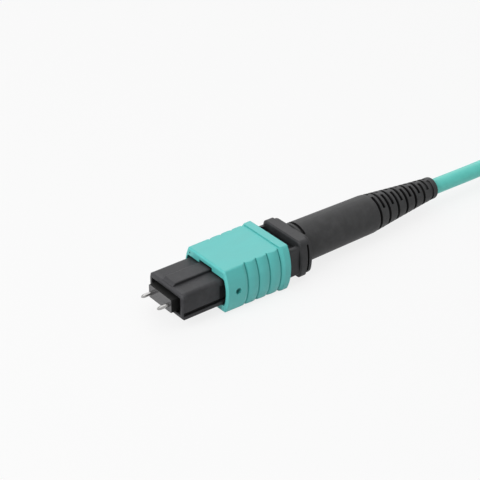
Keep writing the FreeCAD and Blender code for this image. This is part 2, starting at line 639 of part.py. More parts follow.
def rear_flange():
    """Flange with bowed sides, bevelled in front; a groove down each side parts off its rounder rim."""
    def ring(x, inset, edge=FLANGE_EDGE):
        size = [length - 2 * inset for length in (FLANGE_HEIGHT, flange_width - FLANGE_BOW, flange_width)]
        return barrel_outline(x, *size, edge)

    half = FLANGE_HEIGHT / 2
    start = flange_front + FLANGE_GROOVE_SETBACK
    rim_start = start + FLANGE_GROOVE_WIDTH
    steps = [(flange_front, FLANGE_BEVEL), (flange_front + FLANGE_BEVEL, 0), (rim_start, 0)]
    flange = Part.makeLoft([ring(x, inset) for x, inset in steps], True, True)
    rim = Part.Face(ring(rim_start, 0, FLANGE_RIM_EDGE)).extrude(AXIS * (flange_rear - rim_start))
    flange = flange.fuse(rim)
    size = (FLANGE_GROOVE_WIDTH, flange_width, 2 * half - FLANGE_GROOVE_TOP + 1)
    groove = Part.makeBox(*size, Vector(start, flange_width / 2 - FLANGE_GROOVE_REACH, -half - 1))
    core = Part.Face(ring(start, FLANGE_GROOVE_DEPTH)).extrude(AXIS * FLANGE_GROOVE_WIDTH)
    groove = groove.cut(core)
    return flange.cut([groove, mirrored(groove)])


def rear_neck():
    """Neck in front of the flange, with a pocket across its top and another across its bottom."""
    neck = tube_bar(neck_front, flange_front, neck_width, NECK_HEIGHT, NECK_EDGE)
    start = neck_front + NECK_POCKET_WALL
    width = neck_width - 2 * NECK_POCKET_SIDE
    floor = NECK_HEIGHT / 2 - NECK_POCKET_DEPTH
    low = Vector(start, -width / 2, floor)
    pocket = Part.makeBox(flange_front - start, width, 2 * NECK_POCKET_DEPTH, low)
    upright = [edge for edge in pocket.Edges if edge.BoundBox.ZLength > NECK_POCKET_DEPTH]
    pocket = pocket.makeFillet(NECK_POCKET_CORNER, upright)
    return neck.cut([pocket, pocket.mirror(ORIGIN, Vector(0, 0, 1))])


def push_arms():
    """Two springy arms whose hooks snap into the housing's side windows."""
    outside = CAVITY_WIDTH / 2 - SLIDE_GAP
    hook_rear = hook_window_rear - SLIDE_GAP
    hook_front = hook_window_rear - HOOK_WINDOW_LENGTH + SLIDE_GAP
    arm_size = (neck_front - hook_front, ARM_THICKNESS, ARM_HEIGHT)
    arm = Part.makeBox(*arm_size, Vector(hook_front, outside - ARM_THICKNESS, -ARM_HEIGHT / 2))
    barb = [Vector(hook_front, outside, 0), Vector(hook_rear, outside, 0)]
    barb.append(Vector(hook_rear, outside + HOOK_DEPTH, 0))
    barb.append(Vector(hook_front + (hook_rear - hook_front) / 2, outside + HOOK_DEPTH, 0))
    hook = Part.Face(Part.makePolygon(barb + barb[:1])).extrude(Vector(0, 0, ARM_HEIGHT))
    hook.translate(Vector(0, 0, -ARM_HEIGHT / 2))
    arm = arm.fuse(hook)
    return [arm, mirrored(arm)]


def crimp_tube_grooves():
    """Shallow rings on the crimp tube that grip the yarn."""
    pitch = CRIMP_TUBE_LENGTH / (CRIMP_TUBE_GROOVES + 1)
    inner = CRIMP_TUBE_RADIUS - YARN_THICKNESS
    places = [flange_rear + pitch * (index + 1) for index in range(CRIMP_TUBE_GROOVES)]
    return [ring_slot(x, pitch / 3, inner, yarn_radius, 90, 360) for x in places]


def aramid_yarn():
    """The cable's yarn, opened over the crimp tube and running back into the jacket."""
    start = flange_rear + CRIMP_RING_GAP
    inner = CRIMP_TUBE_RADIUS + SEAT_GAP / 2
    turn_in = crimp_tube_end + SEAT_GAP
    tail = jacket_start + CRIMP_NECK_LENGTH
    yarn_inside = JACKET_BORE - SEAT_GAP
    profile = [
        (start, inner),
        (start, yarn_radius),
        (turn_in + YARN_THICKNESS, yarn_radius),
        (jacket_start - SEAT_GAP, yarn_inside),
        (tail, yarn_inside),
        (tail, yarn_inside - YARN_THICKNESS),
        (jacket_start - CRIMP_RING_GAP / 2, yarn_inside - YARN_THICKNESS),
        (turn_in, inner),
    ]
    return turned(profile)


def crimp_ring():
    """Stepped metal ring: its wide end grips the yarn on the tube, its narrow end the jacket."""
    start = flange_rear + CRIMP_RING_GAP
    small_bore = CABLE_RADIUS + SEAT_GAP / 2
    small_radius = small_bore + CRIMP_RING_WALL
    step = jacket_start
    profile = [
        (start, ring_bore),
        (start, ring_radius),
        (step, ring_radius),
        (step + CRIMP_RING_WALL, small_radius),
        (crimp_neck_end, small_radius),
        (crimp_neck_end, small_bore),
        (step + SEAT_GAP, small_bore),
        (step - CRIMP_RING_WALL / 2, ring_bore),
    ]
    return turned(profile)


def boot_body():
    """Turned form of the boot: barrel, long hollow-sided taper and the bead at its end."""
    bore = ring_radius + SLIDE_GAP
    cable_bore = CABLE_RADIUS + JACKET_GAP
    bore_end = crimp_neck_end + CRIMP_RING_GAP
    waist_x = (boot_shoulder + boot_bead) / 2
    waist_radius = (BOOT_SHOULDER_RADIUS + BOOT_END_RADIUS) / 2 - BOOT_WAIST_SAG
    corner = boot_end - BOOT_BEAD_ROUND
    rear_radius = BOOT_END_RADIUS - BOOT_BEAD_ROUND

    def at(x, radius):
        return Vector(x, 0, radius)

    def line(start, end):
        return Part.LineSegment(start, end).toShape()

    ease = BOOT_BEAD_ROUND * (1 - math.sqrt(0.5))
    bead_bend = at(boot_end - ease, BOOT_END_RADIUS - ease)
    edges = [
        line(at(boot_front, bore), at(boot_front, BOOT_RADIUS - BOOT_FRONT_BEVEL)),
        line(at(boot_front, BOOT_RADIUS - BOOT_FRONT_BEVEL), at(boot_front + BOOT_FRONT_BEVEL, BOOT_RADIUS)),
        line(at(boot_front + BOOT_FRONT_BEVEL, BOOT_RADIUS), at(boot_shoulder, BOOT_SHOULDER_RADIUS)),
        Part.Arc(
            at(boot_shoulder, BOOT_SHOULDER_RADIUS), at(waist_x, waist_radius), at(boot_bead, BOOT_END_RADIUS)
        ).toShape(),
        line(at(boot_bead, BOOT_END_RADIUS), at(corner, BOOT_END_RADIUS)),
        Part.Arc(at(corner, BOOT_END_RADIUS), bead_bend, at(boot_end, rear_radius)).toShape(),
        line(at(boot_end, rear_radius), at(boot_end, cable_bore)),
        line(at(boot_end, cable_bore), at(bore_end, cable_bore)),
        line(at(bore_end, cable_bore), at(bore_end, bore)),
        line(at(bore_end, bore), at(boot_front, bore)),
    ]
    return Part.Face(Part.Wire(edges)).revolve(ORIGIN, AXIS, 360)


def strain_relief_boot():
    """Flexible boot: slots at the sides alternate with slots above and below, so that it bends evenly."""
    floor = CABLE_RADIUS + JACKET_GAP + BOOT_SLOT_FLOOR
    first = boot_shoulder + BOOT_SLOT_START
    cuts = []
    for index in range(BOOT_SLOTS):
        x = first + BOOT_SLOT_PITCH * index
        for direction in (0, 180):
            cuts.append(ring_slot(x, BOOT_SLOT_WIDTH, floor, BOOT_RADIUS + 1, direction, SIDE_SLOT_SPREAD))
    for index in range(BOOT_SLOTS - 1):
        x = first + BOOT_SLOT_PITCH * (index + 0.5)
        for direction in (90, 270):
            cuts.append(ring_slot(x, BOOT_SLOT_WIDTH, floor, BOOT_RADIUS + 1, direction, TOP_SLOT_SPREAD))
    inner = BOOT_RADIUS - CRESCENT_DEPTH
    start = boot_front + CRESCENT_SETBACK
    for direction in (90, 270):
        cuts.append(ring_slot(start, CRESCENT_WIDTH, inner, BOOT_RADIUS + 1, direction, CRESCENT_SPREAD))
    return boot_body().cut(cuts)


# ---- cable, hank and tie -----------------------------------------------------------------------

def rounded_path(points):
    """Straight runs joined by tangent arcs, each as large as its two runs allow; also the radii."""
    corners = [Vector(*point) for point in points]
    edges, radii = [], []
    here = corners[0]
    for before, corner, after in zip(corners, corners[1:], corners[2:]):
        back = (before - corner).normalize()
        ahead = (after - corner).normalize()
        half_turn = (math.pi - back.getAngle(ahead)) / 2
        trim = 0.45 * min((before - corner).Length, (after - corner).Length)
        radius = trim / math.tan(half_turn)
        start, end = corner + back * trim, corner + ahead * trim
        inward = (back + ahead).normalize()
        middle_point = corner + inward * (radius / math.cos(half_turn) - radius)
        edges.append(Part.LineSegment(here, start).toShape())
        edges.append(Part.Arc(start, middle_point, end).toShape())
        radii.append(radius)
        here = end
    edges.append(Part.LineSegment(here, corners[-1]).toShape())
    return Part.Wire(edges), radii


def hank_outline(x_near, x_far, fold):
    """Racetrack outline about the hank's centre line, with half-round ends of the given radius."""
    low, high = hank_centre_y - fold, hank_centre_y + fold

    def at(x, y):
        return Vector(x, y, hank_bottom)

    return Part.Wire([
        Part.LineSegment(at(x_near, low), at(x_far, low)).toShape(),
        Part.Arc(at(x_far, low), at(x_far + fold, hank_centre_y), at(x_far, high)).toShape(),
        Part.LineSegment(at(x_far, high), at(x_near, high)).toShape(),
        Part.Arc(at(x_near, high), at(x_near - fold, hank_centre_y), at(x_near, low)).toShape(),
    ])


def cable_hank():
    """Outer form of the folded cable: a racetrack ring as wide and high as its turns."""
    far = hank_bend_x + HANK_RUN
    outer = Part.Face(hank_outline(hank_bend_x, far, hank_outer_fold + hank_half))
    inner = Part.Face(hank_outline(hank_bend_x, far, HANK_FOLD - hank_half))
    return outer.cut(inner).extrude(Vector(0, 0, hank_top - hank_bottom))


def cable(hank):
    """Jacket from inside the boot to the hank, hollow where the yarn and fibres enter it, and its cut end."""
    path, radii = rounded_path(cable_route)
    section = Part.Wire(Part.makeCircle(CABLE_RADIUS, Vector(*cable_route[0]), AXIS))
    tube = path.makePipeShell([section], True, False)
    print("cable bend radii, mm:", [round(radius, 1) for radius in radii])
    ideal_volume = math.pi * CABLE_RADIUS ** 2 * path.Length
    print("cable volume over section times length:", round(tube.Volume / ideal_volume, 4))
    bore = rod(jacket_start - 1, jacket_start + JACKET_BORE_LENGTH, JACKET_BORE)
    end_bore = rod(TAIL_LENGTH - CUT_END_LENGTH, TAIL_LENGTH + 1, JACKET_BORE)
    tail = on_tail(rod(0, TAIL_LENGTH, CABLE_RADIUS).cut(end_bore))
    return Part.makeCompound([tube.cut([bore, hank]), tail.cut(hank)])


def on_tail(shape):
    """Moves a shape that stands along the axis to the cable's last stretch, inside the hank's opening."""
    placed = shape.copy()
    placed.rotate(ORIGIN, Vector(0, 0, 1), 180 - TAIL_ANGLE)
    placed.translate(Vector(*tail_wall))
    return placed


def cable_end_yarn():
    """Yarn between the fibres and the jacket, where the cable is cut."""
    start = TAIL_LENGTH - CUT_END_LENGTH
    outside = rod(start, TAIL_LENGTH, JACKET_BORE - SEAT_GAP)
    return on_tail(outside.cut(rod(start - 1, TAIL_LENGTH + 1, FIBRE_BUNDLE_RADIUS)))


def cable_end_fibres():
    """The coated fibres at the cut: three in the middle and the others in a ring round them."""
    spacing = COATED_FIBRE_RADIUS + FIBRE_FIT
    rings = [(CORE_FIBRES, spacing / math.sin(math.pi / CORE_FIBRES))]
    rings.append((FIBRES - CORE_FIBRES, FIBRE_BUNDLE_RADIUS - spacing - FIBRE_FIT))
    start = TAIL_LENGTH - CUT_END_LENGTH
    fibres = []
    for count, radius in rings:
        turns = [2 * math.pi * index / count for index in range(count)]
        places = [(radius * math.cos(turn), radius * math.sin(turn)) for turn in turns]
        fibres += [rod(start, TAIL_LENGTH, COATED_FIBRE_RADIUS, y, z) for y, z in places]
    return on_tail(Part.makeCompound(fibres))


def hank_tie():
    """Flat band round both sides of the hank at the middle of its run."""
    half = hank_outer_fold + hank_half

    def block(margin):
        low = Vector(tie_start, hank_centre_y - half - margin, hank_bottom - margin)
        return Part.makeBox(TIE_WIDTH, 2 * (half + margin), hank_top - hank_bottom + 2 * margin, low)

    return block(TIE_THICKNESS).cut(block(0))


def build():
    hank = cable_hank()
    return {
        "mt_ferrule": mt_ferrule(),
        "ferrule_adhesive": ferrule_adhesive(),
        "guide_pin_left": guide_pin(1),
        "guide_pin_right": guide_pin(-1),
        "pin_clamp": pin_clamp(),
        "ferrule_boot": ferrule_boot(),
        "ferrule_spring": ferrule_spring(),
        "fibre_ribbon": fibre_ribbon(),
        "plug_housing": plug_housing(),
        "coupling_sleeve": coupling_sleeve(),
        "sleeve_spring_left": sleeve_spring(1),
        "sleeve_spring_right": sleeve_spring(-1),
        "spring_push": spring_push(),
        "aramid_yarn": aramid_yarn(),
        "crimp_ring": crimp_ring(),
        "strain_relief_boot": strain_relief_boot(),
        "cable": cable(hank),
        "cable_hank": hank,
        "hank_tie": hank_tie(),
        "cable_end_yarn": cable_end_yarn(),
        "cable_end_fibres": cable_end_fibres(),
    }


os.makedirs("parts", exist_ok=True)
for name, shape in build().items():
    placed = shape.copy()
    placed.translate(Vector(-middle, 0, rest_height))
    box = placed.optimalBoundingBox()
    print(name, len(placed.Solids), placed.isValid(), round(placed.Volume, 2),
          [round(value, 2) for value in (box.XMin, box.XMax, box.YMin, box.YMax, box.ZMin, box.ZMax)])
    placed.exportStep(f"parts/{name}.step")
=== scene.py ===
import math
import random

import bmesh
import bpy
from mathutils import Matrix, Vector


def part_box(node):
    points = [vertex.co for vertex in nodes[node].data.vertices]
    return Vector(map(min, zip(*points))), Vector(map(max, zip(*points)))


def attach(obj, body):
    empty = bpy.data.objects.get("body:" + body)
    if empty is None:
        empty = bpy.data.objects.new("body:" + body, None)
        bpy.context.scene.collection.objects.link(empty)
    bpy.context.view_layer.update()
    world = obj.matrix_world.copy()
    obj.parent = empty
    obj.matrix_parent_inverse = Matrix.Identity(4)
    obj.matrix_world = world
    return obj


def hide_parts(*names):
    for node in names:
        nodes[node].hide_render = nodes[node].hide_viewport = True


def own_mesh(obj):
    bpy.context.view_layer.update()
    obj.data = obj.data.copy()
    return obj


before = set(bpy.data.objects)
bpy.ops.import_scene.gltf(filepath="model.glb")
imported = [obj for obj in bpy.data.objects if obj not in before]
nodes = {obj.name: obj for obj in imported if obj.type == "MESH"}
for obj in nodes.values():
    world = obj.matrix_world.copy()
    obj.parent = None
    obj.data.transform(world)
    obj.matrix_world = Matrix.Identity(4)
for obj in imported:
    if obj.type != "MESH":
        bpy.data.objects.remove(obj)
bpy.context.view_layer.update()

MM = 0.001
# The nose's upper front lip carries a painted highlight.
NOSE_LIP = (5.9, 6.2)   # heights between which the nose's upper front lip begins
random.seed(12)


# ---- shader helpers ----------------------------------------------------------------------------

class Value:
    """An output of a node. Arithmetic on values adds Math nodes."""

    def __init__(self, shading, socket):
        self.shading, self.socket = shading, socket

    def maths(self, operation, first, second):
        return self.shading.node("ShaderNodeMath", {"operation": operation}, {0: first, 1: second})

    def __add__(self, other):
        return self.maths("ADD", self, other)

    def __sub__(self, other):
        return self.maths("SUBTRACT", self, other)

    def __rsub__(self, other):
        return self.maths("SUBTRACT", other, self)

    def __mul__(self, other):
        return self.maths("MULTIPLY", self, other)

    __radd__, __rmul__ = __add__, __mul__


class Shading:
    """The nodes of a material or of the world."""

    def __init__(self, owner):
        owner.use_nodes = True
        self.tree = owner.node_tree

    def set(self, socket, item):
        if isinstance(item, Value):
            self.tree.links.new(item.socket, socket)
        elif isinstance(item, tuple) and socket.type == "RGBA":
            socket.default_value = (*item, 1.0)
        else:
            socket.default_value = item

    def node(self, kind, settings=None, sockets=None, output=0):
        """Any node: its settings first, then values or links for its sockets."""
        made = self.tree.nodes.new(kind)
        for name, item in (settings or {}).items():
            setattr(made, name, item)
        for name, item in (sockets or {}).items():
            self.set(made.inputs[name], item)
        return Value(self, made.outputs[output])

    def spread(self, value, low, high, to_low=0.0, to_high=1.0):
        """A value from low to high, mapped to another range and held inside it."""
        return self.node("ShaderNodeMapRange", sockets={
            "Value": value, "From Min": low, "From Max": high, "To Min": to_low, "To Max": to_high})

    def shown(self, low, high):
        """One value where light falls, another where the camera, a gloss or glass shows it."""
        kinds = ("Is Camera Ray", "Is Glossy Ray", "Is Transmission Ray")
        camera, gloss, glass = (self.node("ShaderNodeLightPath", output=kind) for kind in kinds)
        return self.spread(camera + gloss + glass, 0.0, 1.0, low, high)


class Finish(Shading):
    """A material with one shader. What is the same all over is set on the shader itself."""

    def __init__(self, name, **sockets):
        self.material = bpy.data.materials.new(name)
        super().__init__(self.material)
        self.shader = self.tree.nodes["Principled BSDF"]
        self.feed(**sockets)

    def feed(self, **sockets):
        for name, item in sockets.items():
            self.set(self.shader.inputs[name.replace("_", " ")], item)
        return self.material

    def place(self):
        return self.node("ShaderNodeTexCoord", output="Object")

    def noise(self, size, detail=2.0, rough=0.5):
        """Noise with lumps of that size in millimetres, or of three sizes along x, y and z."""
        sizes = size if isinstance(size, tuple) else (size, size, size)
        scale = tuple(1 / (length * MM) for length in sizes)
        where = self.node("ShaderNodeMapping", sockets={"Vector": self.place(), "Scale": scale})
        return self.node("ShaderNodeTexNoise", sockets={
            "Vector": where, "Scale": 1.0, "Detail": detail, "Roughness": rough})

    def front(self, name, full=0.03, end=0.05):
        """1 on the front of a node, as deep as full, then less, and 0 from end on."""
        along = self.node("ShaderNodeSeparateXYZ", sockets={0: self.place()})
        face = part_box(name)[0][0]
        return self.spread(along, face + full * MM, face + end * MM, 1.0, 0.0)

    def upper(self, start, full):
        """0 below the height start, 1 above the height full."""
        height = self.node("ShaderNodeSeparateXYZ", sockets={0: self.place()}, output="Z")
        return self.spread(height, start * MM, full * MM)

    def painted_crevice_shade(self, reach, closed):
        """Painted shade: 0 on open faces, and up to 1 in grooves and gaps narrower than reach, in
        millimetres.
        """
        openness = self.node(
            "ShaderNodeAmbientOcclusion", {"samples": 8}, {"Distance": reach * MM}, "AO")
        return self.spread(openness, closed, 0.85, 1.0, 0.0)

    def tint(self, share, first, second):
        return self.node("ShaderNodeMix", {"data_type": "RGBA"}, {0: share, 6: first, 7: second}, 2)

    def relief(self, height, depth, edge=0.0):
        """Normal for a height from 0 to 1 that is depth millimetres deep, over eased edges."""
        sockets = {"Height": height, "Distance": depth * MM}
        if edge:
            sockets["Normal"] = self.node("ShaderNodeBevel", {"samples": 6}, {"Radius": edge * MM})
        return self.node("ShaderNodeBump", sockets=sockets)


# ---- finishes ----------------------------------------------------------------------------------

def sleeve_aqua():
    """Moulded aqua plastic: very fine grain, faint flow marks, and painted shade in its grooves and
    gaps.
    """
    made = Finish("sleeve_aqua", IOR=1.5)
    grain = made.noise(0.08, 3.0, 0.6)
    flow = made.noise((7.0, 2.0, 2.0))
    skin = made.tint(made.spread(flow, 0.35, 0.65), (0.113, 0.580, 0.552), (0.125, 0.602, 0.574))
    # painted shade: the aqua turns deep in grooves and gaps, from ambient occlusion
    colour = made.tint(made.painted_crevice_shade(0.6, 0.1), skin, (0.030, 0.300, 0.290))
    rough = made.spread(grain + flow, 0.7, 1.3, 0.40, 0.52)
    return made.feed(Base_Color=colour, Roughness=rough, Normal=made.relief(grain, 0.004, 0.14))


def jacket_aqua():
    """Extruded cable jacket: smooth skin with a faint draw texture along it."""
    made = Finish("jacket_aqua", IOR=1.49)
    lumps = made.noise(1.6)
    grain = made.noise(0.14, 2.0)
    colour = made.tint(made.spread(lumps, 0.35, 0.65), (0.130, 0.680, 0.600), (0.148, 0.715, 0.635))
    rough = made.spread(lumps + grain, 0.7, 1.3, 0.38, 0.48)
    return made.feed(Base_Color=colour, Roughness=rough, Normal=made.relief(grain, 0.008))


def black_plastic(name, colour, rough, grain_size, depth, edge, nose=""):
    """Black moulding: even grain, greyer rubbed areas, painted shade in grooves and gaps, and a
    painted highlight on the upper lip of a node's front.
    """
    made = Finish(name, IOR=1.5, Specular_IOR_Level=0.18)
    grain = made.noise(grain_size, 3.0, 0.6)
    marks = made.noise(1.9, 3.0, 0.6)
    rubbed = tuple(part * 1.3 + 0.002 for part in colour)
    skin = made.tint(made.spread(marks, 0.4, 0.7), colour, rubbed)
    if nose:
        # painted highlight: the upper lip on the nose's front is made lighter
        painted_lip_light = made.front(nose, 0.35, 1.2) * made.upper(*NOSE_LIP)
        skin = made.tint(painted_lip_light, skin, tuple(part * 1.55 for part in colour))
    # painted shade: grooves and gaps darken to a fifth of the colour, from ambient occlusion
    tint = made.tint(made.painted_crevice_shade(0.9, 0.35), skin, tuple(part * 0.2 for part in colour))
    gloss = made.spread(grain + marks, 0.7, 1.3, rough - 0.06, rough + 0.08)
    return made.feed(Base_Color=tint, Roughness=gloss, Normal=made.relief(grain, depth, edge))


def lined_metal(name, colour, rough, line):
    """Metal with fine marks round the connector's axis."""
    made = Finish(name, Metallic=1.0)
    lines = made.noise((line, 4.0, 4.0), 2.0, 0.6)
    wear = made.noise(0.8, 3.0, 0.6)
    darker = tuple(part * 0.82 for part in colour)
    tint = made.tint(made.spread(wear, 0.4, 0.7), colour, darker)
    gloss = made.spread(lines + wear, 0.7, 1.3, rough - 0.06, rough + 0.08)
    return made.feed(Base_Color=tint, Roughness=gloss, Normal=made.relief(lines, 0.0015))


def ferrule_resin():
    """Filled resin: a dark moulded skin, made darker still as painted shade, and a greyer, glossy
    face where polishing bared it.
    """
    made = Finish(
        "ferrule_resin", IOR=1.5, Specular_IOR_Level=0.1, Coat_IOR=1.6, Coat_Roughness=0.09)
    specks = made.noise(0.045, 2.0, 0.7)
    clouds = made.noise(0.9)
    polished = made.front("mt_ferrule")
    bared = made.tint(made.spread(specks, 0.6, 0.72), (0.027, 0.026, 0.030), (0.085, 0.082, 0.079))
    # partly painted shade: the skin's near-black also stands in for the nose's shadow on the
    # ferrule's top
    colour = made.tint(polished, (0.012, 0.012, 0.012), bared)
    rough = made.spread(clouds + specks, 0.7, 1.3, 0.48, 0.60) - polished * 0.2
    grain = made.relief(specks, 0.003, 0.05)
    return made.feed(Base_Color=colour, Roughness=rough, Coat_Weight=polished, Normal=grain)


def combed_yarn():
    """Yellow yarn, strands along the cable in uneven tones, with painted shade in the darker gaps
    between them.
    """
    made = Finish("yarn_fibre", Specular_IOR_Level=0.35, Sheen_Weight=0.25)
    strands = made.noise((1.6, 0.07, 0.07), 2.0, 0.6)
    # painted shade: darker brown in the gaps between the strands
    colour = made.tint(made.spread(strands, 0.35, 0.65), (0.40, 0.26, 0.04), (0.80, 0.62, 0.17))
    rough = made.spread(strands, 0.3, 0.7, 0.5, 0.7)
    return made.feed(Base_Color=colour, Roughness=rough, Normal=made.relief(strands, 0.03))


def ribbon_coating():
    """Clear-coated ribbon with bluish lanes along it, and dark glass at the polished ends."""
    made = Finish("ribbon_coating", IOR=1.5)
    lanes = made.noise((12.0, 0.12, 0.12), 1.0)
    coat = made.tint(made.spread(lanes, 0.4, 0.6), (0.34, 0.53, 0.58), (0.62, 0.73, 0.75))
    colour = made.tint(made.front("fibre_ribbon"), coat, (0.055, 0.062, 0.068))
    return made.feed(Base_Color=colour, Roughness=made.spread(lanes, 0.3, 0.7, 0.2, 0.32))


def tie_fabric():
    """Black hook-and-loop tape: crossing threads under a short pile."""
    made = Finish("tie_fabric", Specular_IOR_Level=0.3, Sheen_Weight=0.35, Sheen_Roughness=0.5)
    warp = made.noise((0.10, 1.5, 1.5), 1.0)
    weft = made.noise((1.5, 0.12, 0.12), 1.0)
    pile = made.noise(0.16, 3.0, 0.7)
    height = warp * 0.3 + weft * 0.3 + pile * 0.4
    lit = made.spread(height, 0.35, 0.65)
    colour = made.tint(lit, (0.007, 0.007, 0.008), (0.034, 0.034, 0.037))
    rough = made.spread(height, 0.35, 0.65, 0.95, 0.8)
    return made.feed(Base_Color=colour, Roughness=rough, Normal=made.relief(height, 0.10))


def window_adhesive():
    """Cured amber adhesive in the ferrule's window."""
    made = Finish("window_adhesive", IOR=1.52)
    clouds = made.noise(0.7)
    colour = made.tint(made.spread(clouds, 0.35, 0.65), (0.10, 0.062, 0.026), (0.17, 0.115, 0.055))
    return made.feed(Base_Color=colour, Roughness=made.spread(clouds, 0.3, 0.7, 0.16, 0.3))


def fibre_colours():
    """Coloured coatings, read from each fibre's own colour."""
    made = Finish("fibre_colours", IOR=1.5)
    coat = made.node("ShaderNodeAttribute", {"attribute_name": "coating"}, output="Color")
    wear = made.noise(0.2)
    colour = made.tint(made.spread(wear, 0.45, 0.8, 0.0, 0.25), coat, (0.6, 0.6, 0.6))
    return made.feed(Base_Color=colour, Roughness=made.spread(wear, 0.3, 0.7, 0.25, 0.4))


finishes = {
    "ferrule_resin": ferrule_resin(),
    "window_adhesive": window_adhesive(),
    "pin_steel": lined_metal("pin_steel", (0.38, 0.375, 0.37), 0.2, 0.05),
    "clamp_steel": lined_metal("clamp_steel", (0.56, 0.56, 0.55), 0.34, 0.08),
    "spring_steel": lined_metal("spring_steel", (0.60, 0.59, 0.57), 0.27, 0.12),
    "crimp_metal": lined_metal("crimp_metal", (0.72, 0.66, 0.50), 0.30, 0.07),
    "inner_rubber": black_plastic("inner_rubber", (0.016, 0.016, 0.017), 0.62, 0.10, 0.006, 0.04),
    "ribbon_coating": ribbon_coating(),
    "housing_black": black_plastic(
        "housing_black", (0.040, 0.040, 0.043), 0.46, 0.07, 0.005, 0.30, "plug_housing"),
    "rear_black": black_plastic("rear_black", (0.041, 0.041, 0.043), 0.44, 0.07, 0.005, 0.15),
    "boot_rubber": black_plastic("boot_rubber", (0.050, 0.050, 0.051), 0.52, 0.09, 0.008, 0.05),
    "sleeve_aqua": sleeve_aqua(),
    "yarn_fibre": combed_yarn(),
    "jacket_aqua": jacket_aqua(),
    "tie_fabric": tie_fabric(),
    "fibre_colours": fibre_colours(),
}

slots = {
    "mt_ferrule": "ferrule_resin",
    "ferrule_adhesive": "window_adhesive",
    "guide_pin_left": "pin_steel",
    "guide_pin_right": "pin_steel",
    "pin_clamp": "clamp_steel",
    "ferrule_boot": "inner_rubber",
    "ferrule_spring": "spring_steel",
    "fibre_ribbon": "ribbon_coating",
    "plug_housing": "housing_black",
    "coupling_sleeve": "sleeve_aqua",
    "sleeve_spring_left": "spring_steel",
    "sleeve_spring_right": "spring_steel",
    "spring_push": "rear_black",
    "aramid_yarn": "yarn_fibre",
    "crimp_ring": "crimp_metal",
    "strain_relief_boot": "boot_rubber",
    "cable": "jacket_aqua",
    "cable_hank": "jacket_aqua",
    "hank_tie": "tie_fabric",
    "cable_end_yarn": "yarn_fibre",
    "cable_end_fibres": "fibre_colours",
}

for name, slot in slots.items():
    nodes[name].data.materials.clear()
    nodes[name].data.materials.append(finishes[slot])


# ---- new pieces --------------------------------------------------------------------------------

def place_piece(obj, slot, body, *replaced):
    """Gives a finished piece its finish and body, and hides the nodes that it stands for."""
    obj.data.materials.clear()
    obj.data.materials.append(finishes[slot])
    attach(obj, body)
    if replaced:
        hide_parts(*replaced)
    return obj


def new_mesh(name, shape, smooth=True):
    """Mesh object from a bmesh."""
    mesh = bpy.data.meshes.new(name)
    shape.to_mesh(mesh)
    shape.free()
    for face in mesh.polygons:
        face.use_smooth = smooth
    obj = bpy.data.objects.new(name, mesh)
    bpy.context.scene.collection.objects.link(obj)
    return obj


def merged_copy(node, name):
    """Copy of a node's mesh with its doubles merged."""
    half_a_micron = 0.0005 * MM
    shape = bmesh.new()
    shape.from_mesh(nodes[node].data)
    bmesh.ops.remove_doubles(shape, verts=shape.verts, dist=half_a_micron)
    return new_mesh(name, shape)


def springs():
    """Each spring becomes a merged copy of its mesh on the connector's body, and its node is
    hidden. Its row gives its joint, its length at rest and how far it shortens (millimetres), and
    its anchor (metres)."""
    for node, joint, rest, travel, anchor in (
        ("ferrule_spring", "ferrule_slide", 7.29, 1.03, -0.012495),
        ("sleeve_spring_left", "sleeve_slide", 6.51, 2.5, -0.010045),
        ("sleeve_spring_right", "sleeve_slide", 6.51, 2.5, -0.010045),
    ):
        piece = merged_copy(node, node.replace("spring", "coil"))
        place_piece(piece, "spring_steel", "connector", node)
        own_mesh(piece)


# ---- cable -------------------------------------------------------------------------------------

# Millimetres. The hank lies beside the cable's line: two straight sides and two half-round folds.
CABLE_RADIUS = 1.5
HANK_Y = -7.9
MIDDLE_X = 98.175
NEAR_X, FAR_X = 75.675, 120.675     # where its two folds begin
OUTER, INNER = 12.1, 9.0            # radii of its wide and its narrow turns
LEVELS = [2.15, 5.25, 8.35, 11.45]  # heights of its turns
LEAD, SHORT_LEAD = 15, 12           # from a fold to the next point of a straight side
ROUTE = [(6.025, 0.0, 4.42), (27.025, 0.0, 4.42), (52.225, 0.0, 4.057), (64.425, 3.696, 2.876),
         (74.325, 4.2, 2.15)]       # from inside the boot to the hank
FOLD_STEPS = (75, 45, 15, -15, -45, -75)
HALF_STEP = 15
RISING_STEPS = 4                    # steps in which a fold comes to its new height
# The step inwards: distance past the near fold, share of the move aside and of the move down.
CROSSING = [(20, 0.0, 0.0), (27, 0.3, 0.1), (34, 0.75, 0.45), (40, 1.0, 0.9)]

# The cut stretch leaves the hank at its corner and turns. Distances along it from there.
CUT_CORNER = Vector((93.175, -16.9, 2.15))
TAIL_TURN = math.radians(155)
TAIL_BEND = 7.0
JACKET_END = 13.2
CUT_END = 14.0
CUT_DEPTH = 3.0
INNER_FIBRES, INNER_RING, OUTER_RING = 3, 0.15, 0.465
FIBRE_RADIUS, FIBRE_EDGE, FIBRE_SIDES = 0.125, 0.02, 14
END_ANGLE = 1.2   # radians: edges sharper than this are the fibres' ends
STRANDS, STRANDS_A_RING = 84, 28
STRAND_RING, STRAND_RING_STEP, STRAND_RING_TURN = 0.70, 0.13, 0.12
STRAND_RADIUS, STRAND_SIDES = 0.065, 6

# The tie: a tape once round the hank, with its free end pressed down on top.
TAPE = 0.5
TAPE_EDGE = 0.14
TIE_START, TIE_WIDTH = 93.175, 10.0
BAND_ACROSS, BAND_HIGH, BAND_LEVEL, BAND_CORNER = 27.26, 12.36, 6.8, 1.3
FLAP_LENGTH, FLAP_LEVEL, FLAP_ASIDE = 11.0, 13.53, 1.0
LIFTED_LENGTH, LIFT = 3.0, 0.45


